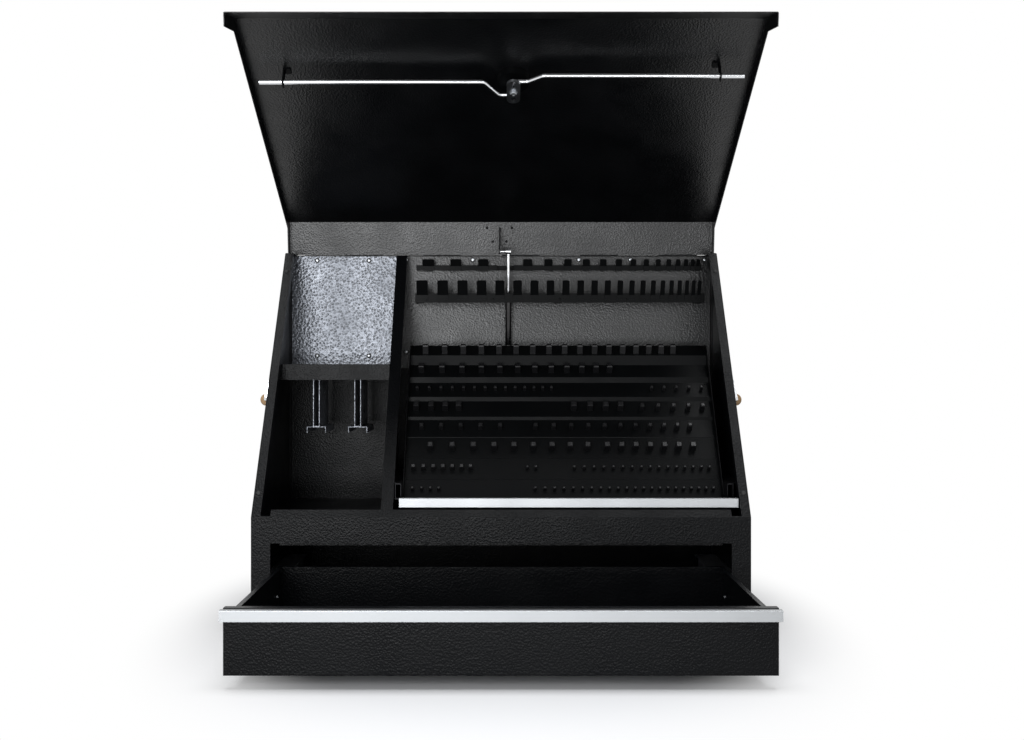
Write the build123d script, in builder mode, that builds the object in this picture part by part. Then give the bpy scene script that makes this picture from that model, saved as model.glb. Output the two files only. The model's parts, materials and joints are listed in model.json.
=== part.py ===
"""Slant-fronted steel tool box: a lid over a wrench and socket station, a tool bay and a full-width drawer.

Millimetres, +Z up. X runs along the width and -Y is the front. The origin is the middle of the underside.
The box is modelled as it stands in use: lid up against its strut, drawer pulled out, socket tray home.
"""

import os
from math import cos, hypot, radians, sin, tan

from build123d import *

os.makedirs("parts", exist_ok=True)

# ---------------------------------------------------------------- driving dimensions
width = 1050.0  # over the side panels
depth = 505.0  # over the back panel and the front rail
height = 840.0  # of the cabinet, without its lid
top_flat = 80.0  # level strip in front of the lid hinge, before the slope starts
front_edge_height = 250.0  # height of the edge where the slope meets the upright front

sheet = 1.5  # cabinet and lid steel
bend = 3.0  # outer radius of a fold in the cabinet steel
thin_sheet = 1.2  # drawer and slide steel
contact = 0.3  # air between curved or running faces that nearly touch

frame_flange = 20.0  # return round the sloping opening
frame_lip = 20.0  # the return's second fold, which the lock rods slide behind
foot_flange = 18.0  # the same return along the foot of the opening
post_width = 41.0  # upright at each side of the drawer
rail_bottom = 195.0  # top of the drawer opening
rail_return = 28.0  # depth of the rail's channel
rail_lip = 8.0  # lip that hangs below the channel's rear
rail_lip_setback = 15.0  # the lip stops short of the posts
deck_height = 235.0  # floor of the tool space

rack_left = -210.0
rack_right = 497.0
rack_plate = 2.5
hook_thickness = 3.0
hook_foot = 12.0
hook_corner = 2.0
hook_lean = 24.0  # degrees that the hooks' tips stand out from upright

lid_gap = 3.0  # air between the lid and the cabinet
lid_side_flange = 27.6  # depth of the lid's side walls
skirt_bottom = 150.0  # height of the lid's lower edge when it is shut
lid_open_angle = 81.3  # degrees from shut to the strut's stop

knuckle_radius = 3.0
hinge_leaf_thickness = 1.2
hinge_leaf_width = 25.0
hinge_pin_radius = 1.25
pin_clearance = 0.05
hinge_length = 980.0
knuckle_count = 10

divider_x = -256.0  # right-hand face of the divider's web
divider_setback = 40.0  # behind the slope, square to it
divider_flange = 26.0
shelf_top = 570.0
shelf_front_height = 36.0
hanger_bottom = 411.0
hanger_spacing = 96.0
hanger_stem = 15.0
hanger_foot_width = 44.0
hanger_foot_height = 14.0
hanger_length = 150.0

tray_left = -216.0
tray_right = 489.0
tray_pull_right = 503.0
tray_lift = 1.4  # the tray's pull clears the foot of the opening by this
tray_floor = 268.0
tray_pull_gap = 2.0  # between the pull and the plane of the slope
tier_setback = 100.0  # middle of the treads behind the slope
tier_count = 8
top_tier_height = 597.0
bottom_tier_height = 292.0
tray_end_lead = 14.0  # the tray's end plates stand this far in front of the treads
tray_rear = 165.0
tray_rear_flange = 30.0
tray_slide_height = 296.0
tray_slide_section = 35.0
tray_slide_length = 335.0
tray_slide_start = -172.0
post_tip = 2.5  # length of each post's bevelled tip
post_tip_taper = 30.0

pull_height = 20.0
pull_depth = 14.0
pull_wall = 2.2

front_half = 488.0  # half the drawer front's width
front_bottom = 25.0
front_top = 144.0
front_depth = 20.0
front_gap = 0.5  # between the shut drawer front and the posts
drawer_pull_overhang = 4.0
drawer_pull_drop = 1.5
drawer_bottom = 30.0
drawer_top = 142.0
drawer_length = 446.0
drawer_hem = 9.0
drawer_out = 415.0  # how far the drawer stands open

slide_depth = 12.7
slide_height = 45.0
drawer_slide_height = 82.0

strut_x = 18.0
strut_fin_x = -3.0
strut_fin_thickness = 3.0
strut_ball_back = 16.0  # pivot on the lid, from the hinge pin, with the lid shut
strut_ball_down = 60.0
strut_foot_back = 20.0  # pivot on the cabinet, from the hinge pin
strut_foot_down = 240.0
strut_tube_radius = 7.5
strut_tube_length = 130.0
strut_rod_radius = 4.0
strut_eye_radius = 7.0
strut_stud_radius = 3.5

lock_x = 26.0
lock_along = 552.0  # lock centre, down the slope from the lid's fold
lock_pin_radius = 21.5
rod_depth = 30.5  # rod centre inside the lid's inner face
rod_radius = 5.0
rod_reach = 502.0  # rod tips from the middle, drawn back
left_rod_along = 572.0
right_rod_along = 592.0
rod_jog = 32.0  # length of the slanting part of each rod
guide_from_tip = 48.0
guide_width = 16.0
guide_head = 9.0  # of the guide beyond the rod's centre
guide_thickness = 3.0
guide_clearance = 0.3
rod_bend = 14.0
lock_dish_radius = 33.0
lock_dish_depth = 17.0
lock_rim = 5.0

handle_height = 529.0  # pivot of a side handle
handle_middle = 78.0  # its middle, behind the box's centre line
handle_span = 105.0  # between the arms
handle_drop = 41.6  # pivot to grip, straight down
handle_lean = 11.3  # the grip stands out this far from the pivot
handle_pivot_out = 9.5
bail_bar = (5.0, 7.0)  # thickness of the bail's flat bar, and its width
bail_pin_radius = 4.0
grip_radius = 14.0
grip_length = 86.0

# ---------------------------------------------------------------- worked-out places
half = width / 2
back = depth / 2
front = -depth / 2
inner_half = half - sheet
slope_top = (back - top_flat, height)
slope_foot = (front, front_edge_height)
slope_run = slope_top[0] - slope_foot[0]
slope_rise = slope_top[1] - slope_foot[1]
slope_length = hypot(slope_run, slope_rise)
down_slope = (-slope_run / slope_length, -slope_rise / slope_length)
inward = (slope_rise / slope_length, -slope_run / slope_length)  # square to the slope, into the box


def behind_slope(setback, z):
    """The Y of the plane that lies setback behind the slope, at height z."""
    return slope_top[0] - (height - z) * slope_run / slope_rise + setback / inward[0]


hinge_y = back + knuckle_radius
lid_top_gap = 1.8  # leaves room for the hinge leaf
hinge_z = height + lid_top_gap - knuckle_radius
open_cos = cos(radians(lid_open_angle))
open_sin = sin(radians(lid_open_angle))


def turned(y, z):
    """A direction on the shut lid, turned to where the open lid has it."""
    return (y * open_cos + z * open_sin, -y * open_sin + z * open_cos)


def opened(y, z):
    """A point on the shut lid, given from the hinge pin, moved to where the open lid has it."""
    turned_y, turned_z = turned(y, z)
    return (hinge_y + turned_y, hinge_z + turned_z)


def lid_section(x):
    """The plane across the open lid at x; its axes are the shut lid's Y and Z from the hinge pin."""
    return Plane(origin=(x, hinge_y, hinge_z), x_dir=(0, *turned(1, 0)), z_dir=(1, 0, 0))


lid_inner_top = lid_top_gap + height - hinge_z
lid_fold_y = slope_top[0] - (lid_gap + inward[1] * lid_top_gap) / inward[0] - hinge_y
lid_front_y = front - lid_gap - hinge_y
lid_front_z = height - (inward[0] * (slope_top[0] - front + lid_gap) - lid_gap) / -inward[1] - hinge_z
lid_slope = Plane(
    origin=(0, *opened(lid_fold_y, lid_inner_top)), x_dir=(1, 0, 0), z_dir=(0, *turned(*inward))
)
lid_flat = Plane(origin=(0, *opened(0, lid_inner_top)), x_dir=(1, 0, 0), z_dir=(0, *turned(0, -1)))


def save(builder, name):
    """Label a finished piece and write its file."""
    builder.part.label = name
    export_step(builder.part, f"parts/{name}.step")


def folded(points, plane, thickness, side=Side.LEFT):
    """The cut edge of a folded sheet; the points run along one face and the steel lies on the given side."""
    with BuildSketch(plane) as outline:
        with BuildLine():
            Polyline(*points)
            offset(amount=thickness, side=side)
        make_face()
    return outline.sketch


def graded(first, last, count, ratio):
    """Places from first to last whose pitch shrinks evenly, until the last pitch is ratio of the first."""
    pitches = [1 + (ratio - 1) * i / max(count - 2, 1) for i in range(count - 1)]
    unit = (last - first) / sum(pitches)
    return [first + unit * sum(pitches[:i]) for i in range(count)]


# ---------------------------------------------------------------- cabinet shell
side_outline = [(front, 0), (back, 0), (back, height), slope_top, slope_foot, (front, 0)]

with BuildPart() as left_side_panel:
    with BuildSketch(Plane.YZ.offset(-half)):
        with BuildLine():
            Polyline(*side_outline)
        make_face()
    extrude(amount=post_width)
    outer_edges = left_side_panel.faces().sort_by(Axis.X)[0].edges()
    fillet([e for e in outer_edges if e.center().Z > 1 and e.center().Y < back - 1], radius=bend)
    open_faces = [
        left_side_panel.faces().sort_by(Axis.X)[-1],
        left_side_panel.faces().sort_by(Axis.Z)[0],
        left_side_panel.faces().sort_by(Axis.Y)[-1],
    ]
    offset(amount=-sheet, openings=open_faces)
    with BuildSketch(Plane.YZ.offset(-half + frame_flange)):
        with BuildLine():
            Polyline(
                (front + sheet, -1),
                (back + 1, -1),
                (back + 1, height + 1),
                (front + sheet, height + 1),
                close=True,
            )
        make_face()
    extrude(amount=post_width, mode=Mode.SUBTRACT)
    with BuildSketch(Plane.YZ.offset(-half + frame_flange)):
        with BuildLine():
            Polyline(
                slope_foot,
                slope_top,
                (slope_top[0] + frame_lip * inward[0], slope_top[1] + frame_lip * inward[1]),
                (slope_foot[0] + frame_lip * inward[0], slope_foot[1] + frame_lip * inward[1]),
                close=True,
            )
        make_face()
    extrude(amount=-sheet)
save(left_side_panel, "left_side_panel")

with BuildPart() as right_side_panel:
    mirror(left_side_panel.part, about=Plane.YZ)
save(right_side_panel, "right_side_panel")

flange_height = 20.0

with BuildPart() as base_pan:
    with BuildSketch(Plane.XY):
        with Locations((0, (front + sheet + back - sheet) / 2)):
            Rectangle(2 * inner_half, depth - 2 * sheet)
    extrude(amount=flange_height)
    fillet(base_pan.edges().filter_by(Axis.Z), radius=bend)
    offset(amount=-sheet, openings=base_pan.faces().sort_by(Axis.Z)[-1:])
save(base_pan, "base_pan")

strut_notch_left = strut_fin_x - strut_fin_thickness / 2 - 5
strut_notch_right = strut_x + strut_eye_radius + 7
back_return = 12.0

with BuildPart() as back_panel:
    with BuildSketch(Plane.XZ.offset(-back)):
        with Locations((0, (height + sheet) / 2)):
            Rectangle(2 * inner_half, height - sheet)
        with Locations((-half, height), (half, height)):
            Rectangle(2 * frame_flange, 2 * sheet + 0.1, mode=Mode.SUBTRACT)
        with Locations((-inner_half, height), (inner_half, height)):
            Rectangle(4 * sheet, 6 * sheet, mode=Mode.SUBTRACT)
    extrude(amount=sheet)
save(back_panel, "back_panel")

# strips welded inside the back: one up each side, and one either side of the strut's notch
with BuildPart() as back_flanges:
    with BuildSketch(Plane.XY.offset(height)):
        for start, end in ((frame_flange - half, strut_notch_left), (strut_notch_right, half - frame_flange)):
            with Locations(((start + end) / 2, back - sheet)):
                Rectangle(end - start, back_return - sheet, align=(Align.CENTER, Align.MAX))
    extrude(amount=-sheet)
    with BuildSketch(Plane.XY.offset(flange_height)):
        with Locations((sheet / 2 - inner_half, back - sheet), (inner_half - sheet / 2, back - sheet)):
            Rectangle(sheet, flange_height - sheet, align=(Align.CENTER, Align.MAX))
    extrude(amount=height - 3 * sheet - flange_height)
save(back_flanges, "back_flanges")

rail_back = front + rail_return
foot_flange_top = front_edge_height + foot_flange * -down_slope[1]
post_inner = half - post_width

with BuildPart() as front_rail:
    rail_path = [
        (behind_slope(0, foot_flange_top), foot_flange_top),
        (front, front_edge_height),
        (front, rail_bottom),
        (rail_back, rail_bottom),
        (rail_back, rail_bottom - rail_lip),
    ]
    rail_profile = folded(rail_path, Plane.YZ.offset(-post_inner), sheet)
    extrude(to_extrude=rail_profile, amount=2 * post_inner)
    for side in (-1, 1):
        with Locations((side * post_inner, rail_back, rail_bottom - rail_lip / 2)):
            Box(2 * rail_lip_setback, 4 * sheet, rail_lip, mode=Mode.SUBTRACT)
save(front_rail, "front_rail")

deck_front = front + sheet

with BuildPart() as tool_deck:
    with BuildSketch(Plane.XY.offset(deck_height)):
        with Locations((0, (deck_front + back - sheet) / 2)):
            Rectangle(2 * inner_half, back - sheet - deck_front)
        with Locations((-half, deck_front), (half, deck_front)):
            Rectangle(2 * (post_width - bend), 2 * bend, mode=Mode.SUBTRACT)
        with Locations((-inner_half, back - sheet - flange_height / 2)):
            Rectangle(2 * sheet, flange_height, mode=Mode.SUBTRACT)
        with Locations((inner_half, back - sheet - flange_height / 2)):
            Rectangle(2 * sheet, flange_height, mode=Mode.SUBTRACT)
    extrude(amount=-sheet)
    deck_flange_length = back - flange_height - 2 * sheet - (deck_front + 2 * bend)
    deck_flange_middle = (back - flange_height - 2 * sheet + deck_front + 2 * bend) / 2
    for side in (-1, 1):
        deck_side = side * (inner_half - sheet / 2)
        with Locations((deck_side, deck_flange_middle, deck_height - flange_height / 2)):
            Box(sheet, deck_flange_length, flange_height)
save(tool_deck, "tool_deck")

# ---------------------------------------------------------------- bay, divider and racks
liner = 1.5
liner_front = back - sheet - liner  # front face of the panels on the inside of the back
divider_top = height - sheet - contact
divider_outline = [
    (liner_front, deck_height),
    (liner_front, divider_top),
    (behind_slope(divider_setback, divider_top), divider_top),
    (behind_slope(divider_setback, deck_height), deck_height),
    (liner_front, deck_height),
]

with BuildPart() as bay_divider:
    with BuildSketch(Plane.YZ.offset(divider_x - sheet)):
        with BuildLine():
            Polyline(*divider_outline)
        make_face()
    extrude(amount=divider_flange)
    open_faces = [
        bay_divider.faces().sort_by(Axis.X)[-1],
        bay_divider.faces().sort_by(Axis.Z)[-1],
        bay_divider.faces().sort_by(Axis.Y)[-1],
    ]
    offset(amount=-sheet, openings=open_faces, kind=Kind.INTERSECTION)
save(bay_divider, "bay_divider")

bay_left = -inner_half + 2 * sheet
bay_right = divider_x - sheet
shelf_bottom = shelf_top - shelf_front_height
shelf_front = behind_slope(divider_setback, (shelf_top + shelf_bottom) / 2)

with BuildPart() as bay_back_panel:
    with BuildSketch(Plane.XZ.offset(-liner_front)):
        with Locations(((bay_left + bay_right) / 2, (shelf_bottom + divider_top) / 2)):
            Rectangle(bay_right - bay_left, divider_top - shelf_bottom)
    extrude(amount=-liner)
save(bay_back_panel, "bay_back_panel")

tool_panel_left = divider_x + contact
tool_panel_right = inner_half - 2 * sheet
tool_panel_bottom = 560.0

with BuildPart() as tool_back_panel:
    with BuildSketch(Plane.XZ.offset(-liner_front)):
        with Locations(((tool_panel_left + tool_panel_right) / 2, (tool_panel_bottom + divider_top) / 2)):
            Rectangle(tool_panel_right - tool_panel_left, divider_top - tool_panel_bottom)
    extrude(amount=-liner)
save(tool_back_panel, "tool_back_panel")

with BuildPart() as bay_shelf:
    shelf_path = [
        (liner_front - contact, shelf_bottom),
        (liner_front - contact, shelf_top),
        (shelf_front, shelf_top),
        (shelf_front, shelf_bottom),
        (shelf_front + flange_height, shelf_bottom),
    ]
    shelf_left = -inner_half
    shelf_profile = folded(shelf_path, Plane.YZ.offset(shelf_left), sheet)
    extrude(to_extrude=shelf_profile, amount=bay_right - shelf_left)
    with Locations((shelf_left, liner_front, shelf_top - shelf_front_height / 2)):
        Box(4 * sheet, 2 * flange_height, 2 * shelf_front_height, mode=Mode.SUBTRACT)
save(bay_shelf, "bay_shelf")

hanger_middle = (bay_left + bay_right) / 2 + 8.0
hanger_front = shelf_front + flange_height + contact

with BuildPart() as tool_hangers:
    for side in (-1, 1):
        with BuildSketch(Plane.XZ.offset(-hanger_front)):
            stem_height = shelf_top - sheet - hanger_bottom - hanger_foot_height
            with Locations((hanger_middle + side * hanger_spacing / 2, 0)):
                with Locations((0, shelf_top - sheet - stem_height / 2)):
                    Rectangle(hanger_stem, stem_height)
                    Rectangle(hanger_stem - 2 * sheet, stem_height - 2 * sheet, mode=Mode.SUBTRACT)
                with Locations((0, hanger_bottom + hanger_foot_height / 2)):
                    Rectangle(hanger_foot_width, hanger_foot_height)
                with Locations((0, hanger_bottom + hanger_foot_height / 2 - sheet)):
                    Rectangle(hanger_foot_width - 2 * sheet, hanger_foot_height, mode=Mode.SUBTRACT)
        extrude(amount=-hanger_length)
save(tool_hangers, "tool_hangers")


upper_rack_height = 803.0
upper_rack_depth = 17.0
upper_rack_lip = 12.0
upper_front = liner_front - upper_rack_depth
notch_middle = (strut_notch_left + strut_notch_right) / 2
notch_width = strut_notch_right - strut_notch_left

with BuildPart() as wrench_rack_upper:
    upper_path = [
        (liner_front, upper_rack_height + upper_rack_lip),
        (liner_front, upper_rack_height),
        (upper_front, upper_rack_height),
        (upper_front, upper_rack_height + upper_rack_lip),
    ]
    upper_profile = folded(upper_path, Plane.YZ.offset(rack_left), sheet, side=Side.RIGHT)
    extrude(to_extrude=upper_profile, amount=rack_right - rack_left)
    with Locations((notch_middle, upper_front, upper_rack_height)):
        Box(notch_width, 2 * (upper_rack_depth - 2 * sheet), 4 * upper_rack_lip, mode=Mode.SUBTRACT)
save(wrench_rack_upper, "wrench_rack_upper")

lower_rack_bottom = 720.0
lower_rack_top = 743.0
lower_rack_front = 186.0
arm_width = 22.0
arm_foot = 18.0
middle_arm_x = 150.0

with BuildPart() as wrench_rack_lower:
    with BuildSketch(Plane.XZ.offset(-lower_rack_front)):
        with Locations(((rack_left + rack_right) / 2, (lower_rack_bottom + lower_rack_top) / 2)):
            Rectangle(rack_right - rack_left, lower_rack_top - lower_rack_bottom)
    extrude(amount=-rack_plate)
    for x, foot, arm_side in (
        (rack_left, arm_foot, Side.RIGHT),
        (middle_arm_x, -arm_foot, Side.LEFT),
        (rack_right - sheet, -arm_foot, Side.LEFT),
    ):
        arm_path = [(x, lower_rack_front + rack_plate), (x, liner_front), (x + foot, liner_front)]
        arm_height = (lower_rack_bottom + lower_rack_top - arm_width) / 2
        arm_profile = folded(arm_path, Plane.XY.offset(arm_height), sheet, side=arm_side)
        extrude(to_extrude=arm_profile, amount=arm_width)
save(wrench_rack_lower, "wrench_rack_lower")


def make_hooks(places, seat_y, seat_z, rise, widest, narrowest):
    """A row of hooks, each with a foot on its seat and a tip that leans out; they narrow to the right."""
    lean_y = -sin(radians(hook_lean))
    lean_z = cos(radians(hook_lean))
    fold_z = seat_z + hook_foot
    hook_path = [(seat_y, seat_z), (seat_y, fold_z), (seat_y + rise * lean_y, fold_z + rise * lean_z)]
    with BuildPart() as hooks:
        for x in places:
            share = (x - rack_left) / (rack_right - rack_left)
            hook_width = widest + (narrowest - widest) * share
            hook_profile = folded(hook_path, Plane.YZ.offset(x - hook_width / 2), hook_thickness)
            extrude(to_extrude=hook_profile, amount=hook_width)
        across_tip = Axis((0, 0, 0), (0, lean_z, -lean_y))
        chamfer(hooks.edges().filter_by(across_tip).group_by(Axis.Z)[-1], length=hook_corner)
    return hooks


upper_places = [
    *graded(-180.0, -44.0, 3, 1.0),
    *graded(66.0, 488.0, 14, 0.26),
]
wrench_hooks_upper = make_hooks(upper_places, upper_front, upper_rack_height - 2.0, 18.0, 30.0, 9.0)
save(wrench_hooks_upper, "wrench_hooks_upper")

lower_places = graded(-192.0, 483.0, 22, 0.285)
lower_foot_z = lower_rack_top - hook_foot - 4.0
wrench_hooks_lower = make_hooks(lower_places, lower_rack_front, lower_foot_z, 38.0, 28.0, 8.0)
save(wrench_hooks_lower, "wrench_hooks_lower")

# ---------------------------------------------------------------- lid and its hinge
lid_half = half + lid_gap


def lid_line(offset_out):
    """The lid's profile, from its rear edge to its lower edge, offset outwards from its inner face."""
    fold = (lid_fold_y - (offset_out + inward[1] * offset_out) / inward[0], lid_inner_top + offset_out)
    corner_y = lid_front_y - offset_out
    corner_z = lid_front_z + (offset_out - inward[0] * offset_out) / -inward[1]
    return [
        (back - hinge_y, lid_inner_top + offset_out),
        fold,
        (corner_y, corner_z),
        (corner_y, skirt_bottom - hinge_z),
    ]


with BuildPart() as lid_panel:
    with BuildSketch(lid_section(-lid_half)):
        with BuildLine():
            outer_line = lid_line(sheet)
            inner_line = lid_line(sheet - lid_side_flange)
            Polyline(*outer_line, *reversed(inner_line), close=True)
        make_face()
    extrude(amount=2 * lid_half)
    lid_sides = lid_panel.faces().sort_by(Axis.X)
    lid_outer_faces = []
    for start, end in zip(outer_line, outer_line[1:]):
        middle = opened((start[0] + end[0]) / 2, (start[1] + end[1]) / 2)
        lid_outer_faces += [f for f in lid_panel.faces() if (f.center() - Vector(0, *middle)).length < 1]
    outer_edges = {}
    for face in (*lid_outer_faces, lid_sides[0], lid_sides[-1]):
        for edge in face.edges():
            outer_edges.setdefault(tuple(round(c, 2) for c in edge.center()), []).append(edge)
    fillet([pair[0] for pair in outer_edges.values() if len(pair) > 1], radius=bend)
    inner_faces = []
    open_line = [outer_line[-1], *reversed(inner_line), outer_line[0]]
    for start, end in zip(open_line, open_line[1:]):
        middle = Vector(0, *opened((start[0] + end[0]) / 2, (start[1] + end[1]) / 2))
        nearest = min(lid_panel.faces(), key=lambda f: (f.center() - middle).length)
        inner_faces.append(nearest)
    offset(amount=-sheet, openings=inner_faces)
    with BuildSketch(lid_slope.offset(-2 * sheet)):
        with Locations((lock_x, lock_along)):
            Circle(lock_dish_radius + contact)
    extrude(amount=4 * sheet, mode=Mode.SUBTRACT)
save(lid_panel, "lid_panel")

knuckle_length = hinge_length / knuckle_count
knuckle_bore = hinge_pin_radius + pin_clearance
cabinet_knuckles = [-hinge_length / 2 + (i + 0.5) * knuckle_length for i in range(0, knuckle_count, 2)]
lid_knuckles = [-hinge_length / 2 + (i + 0.5) * knuckle_length for i in range(1, knuckle_count, 2)]

with BuildPart() as hinge_pin:
    with BuildSketch(Plane.YZ.offset(-hinge_length / 2)):
        with Locations((hinge_y, hinge_z)):
            Circle(hinge_pin_radius)
    extrude(amount=hinge_length)
save(hinge_pin, "hinge_pin")

with BuildPart() as hinge_cabinet_leaf:
    with BuildSketch(Plane.XZ.offset(-back)):
        with Locations((0, hinge_z - knuckle_radius - contact)):
            Rectangle(hinge_length, hinge_leaf_width, align=(Align.CENTER, Align.MAX))
    extrude(amount=-hinge_leaf_thickness)
    for x in cabinet_knuckles:
        with BuildSketch(Plane.YZ.offset(x - knuckle_length / 2 + contact)):
            with Locations((hinge_y, hinge_z)):
                Circle(knuckle_radius)
            with Locations((back, hinge_z)):
                Rectangle(hinge_leaf_thickness, 2 * knuckle_radius, align=(Align.MIN, Align.MAX))
            with Locations((hinge_y, hinge_z)):
                Circle(knuckle_bore, mode=Mode.SUBTRACT)
        extrude(amount=knuckle_length - 2 * contact)
save(hinge_cabinet_leaf, "hinge_cabinet_leaf")

with BuildPart() as hinge_lid_leaf:
    with BuildSketch(lid_flat):
        with Locations((0, knuckle_radius + contact)):
            Rectangle(hinge_length, hinge_leaf_width, align=(Align.CENTER, Align.MIN))
    extrude(amount=hinge_leaf_thickness)
    for x in lid_knuckles:
        with BuildSketch(lid_section(x - knuckle_length / 2 + contact)):
            Circle(knuckle_radius)
            with Locations((0, lid_inner_top)):
                Rectangle(2 * knuckle_radius, hinge_leaf_thickness, align=(Align.MAX, Align.MAX))
            Circle(knuckle_bore, mode=Mode.SUBTRACT)
        extrude(amount=knuckle_length - 2 * contact)
save(hinge_lid_leaf, "hinge_lid_leaf")

# ---------------------------------------------------------------- gas strut
strut_foot = Vector(strut_x, hinge_y - strut_foot_back, hinge_z - strut_foot_down)
strut_head = Vector(strut_x, *opened(-strut_ball_back, -strut_ball_down))
strut_open_length = (strut_head - strut_foot).length
strut_axis = Plane(origin=strut_foot, x_dir=(1, 0, 0), z_dir=strut_head - strut_foot)
fin_face = strut_fin_x + strut_fin_thickness / 2
fin_base_thickness = 2.0
fin_base_start = knuckle_radius + hinge_leaf_width + 2.0
fin_base_end = top_flat - 4.0

with BuildPart() as strut_bracket:
    with BuildSketch(lid_flat):
        with BuildLine():
            Polyline(
                (strut_fin_x - 24, fin_base_start),
                (strut_fin_x + 24, fin_base_start),
                (strut_fin_x + 38, fin_base_end),
                (strut_fin_x - 38, fin_base_end),
                close=True,
            )
        make_face()
    extrude(amount=fin_base_thickness)
    with BuildSketch(lid_section(strut_fin_x - strut_fin_thickness / 2)):
        with BuildLine():
            Polyline(
                (-fin_base_end + 4, lid_inner_top - sheet),
                (-fin_base_start - 2, lid_inner_top - sheet),
                (-strut_ball_back + strut_eye_radius, -strut_ball_down),
                (-strut_ball_back - strut_eye_radius, -strut_ball_down),
                (-fin_base_end + 4, -12.0),
                close=True,
            )
        make_face()
        with Locations((-strut_ball_back, -strut_ball_down)):
            Circle(strut_eye_radius)
    extrude(amount=strut_fin_thickness)
save(strut_bracket, "strut_bracket")

strut_eye_width = 12.0
strut_rod_foot = 104.0  # lower end of the rod, up the strut from its foot pivot
strut_rod_clearance = 0.08
tube_start = strut_eye_radius + 3.0

with BuildPart() as strut_tube:
    with BuildSketch(strut_axis.offset(tube_start)):
        Circle(strut_tube_radius)
    extrude(amount=strut_tube_length)
    chamfer(strut_tube.edges().filter_by(GeomType.CIRCLE), length=1.0)
    bore_start = 12.0
    with BuildSketch(strut_axis.offset(tube_start + bore_start)):
        Circle(strut_rod_radius + strut_rod_clearance)
    extrude(amount=strut_tube_length, mode=Mode.SUBTRACT)
    with BuildSketch(Plane.YZ.offset(strut_x - strut_eye_width / 2)):
        with Locations((strut_foot.Y, strut_foot.Z)):
            Circle(strut_eye_radius)
    extrude(amount=strut_eye_width)
    with BuildSketch(strut_axis):
        Circle(strut_rod_radius)
    extrude(amount=tube_start + 1.0)
    with BuildSketch(Plane.YZ.offset(strut_x - strut_eye_width / 2)):
        with Locations((strut_foot.Y, strut_foot.Z)):
            Circle(strut_stud_radius + pin_clearance)
    extrude(amount=strut_eye_width, mode=Mode.SUBTRACT)
save(strut_tube, "strut_tube")

with BuildPart() as strut_rod:
    with BuildSketch(strut_axis.offset(strut_rod_foot)):
        Circle(strut_rod_radius)
    extrude(amount=strut_open_length - strut_rod_foot)
    with BuildSketch(Plane.YZ.offset(strut_x - strut_eye_width / 2)):
        with Locations((strut_head.Y, strut_head.Z)):
            Circle(strut_eye_radius)
    extrude(amount=strut_eye_width)
    with BuildSketch(Plane.YZ.offset(fin_face + contact)):
        with Locations((strut_head.Y, strut_head.Z)):
            Circle(strut_stud_radius)
    extrude(amount=strut_x - fin_face - contact)
save(strut_rod, "strut_rod")

with BuildPart() as strut_anchor:
    anchor_web_x = strut_x - strut_eye_width / 2 - 4.0
    with BuildSketch(Plane.XZ.offset(-liner_front)):
        with Locations((anchor_web_x, strut_foot.Z)):
            Rectangle(40.0, 26.0)
    extrude(amount=2.0)
    with BuildSketch(Plane.YZ.offset(anchor_web_x - strut_fin_thickness)):
        with BuildLine():
            Polyline(
                (liner_front - 1, strut_foot.Z - 12),
                (liner_front - 1, strut_foot.Z + 12),
                (strut_foot.Y, strut_foot.Z + strut_eye_radius),
                (strut_foot.Y, strut_foot.Z - strut_eye_radius),
                close=True,
            )
        make_face()
        with Locations((strut_foot.Y, strut_foot.Z)):
            Circle(strut_eye_radius)
    extrude(amount=strut_fin_thickness)
    with BuildSketch(Plane.YZ.offset(anchor_web_x - 1)):
        with Locations((strut_foot.Y, strut_foot.Z)):
            Circle(strut_stud_radius)
    extrude(amount=strut_x + strut_eye_width / 2 - anchor_web_x + 2)
save(strut_anchor, "strut_anchor")

# ---------------------------------------------------------------- lock and its rods
cam_thickness = 6.0
cam_end = 10.0
cam_slot_width = 8.4
cam_slot_length = 8.0
dish_wall = 2.0
rim_thickness = 1.2
shank_radius = 7.0
shank_clearance = 0.08
eye_pin_radius = 2.5
cam_depth = rod_depth + rod_radius + contact  # the cam lies just inside the rods' eyes
rim_start = -sheet - rim_thickness


def lock_disc(start, end, radius, mode=Mode.ADD):
    """A round of the lock, from depth start to depth end inside the lid."""
    with BuildSketch(lid_slope.offset(start)) as disc:
        with Locations((lock_x, lock_along)):
            Circle(radius)
    extrude(to_extrude=disc.sketch, amount=end - start, mode=mode)


with BuildPart() as lock_body:
    lock_disc(rim_start, -sheet, lock_dish_radius + lock_rim)
    lock_disc(-sheet, lock_dish_depth, lock_dish_radius)
    lock_disc(lock_dish_depth, cam_depth - contact, shank_radius + 2 * dish_wall)
    lock_disc(rim_start, lock_dish_depth - dish_wall, lock_dish_radius - dish_wall, Mode.SUBTRACT)
    lock_disc(rim_start, cam_depth, shank_radius + shank_clearance, Mode.SUBTRACT)
save(lock_body, "lock_body")

with BuildPart() as lock_handle:
    with BuildSketch(lid_slope.offset(-sheet)):
        with Locations((lock_x, lock_along)):
            SlotOverall(2 * (lock_dish_radius - 2 * dish_wall), 14.0)
    extrude(amount=lock_dish_depth - 2 * dish_wall)
    chamfer(lock_handle.faces().sort_by(Axis(lid_slope.origin, lid_slope.z_dir))[0].edges(), length=2.0)
    lock_disc(0, cam_depth + cam_thickness, shank_radius)
save(lock_handle, "lock_handle")

with BuildPart() as lock_cam:
    with BuildSketch(lid_slope.offset(cam_depth)):
        with Locations((lock_x, lock_along)):
            SlotCenterToCenter(2 * lock_pin_radius, 2 * (cam_slot_width / 2 + cam_end), rotation=90)
            Circle(shank_radius + pin_clearance, mode=Mode.SUBTRACT)
            for side in (-1, 1):
                with Locations((0, side * (lock_pin_radius + 2.5))):
                    SlotCenterToCenter(cam_slot_length, cam_slot_width, rotation=90, mode=Mode.SUBTRACT)
    extrude(amount=cam_thickness)
save(lock_cam, "lock_cam")

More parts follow.
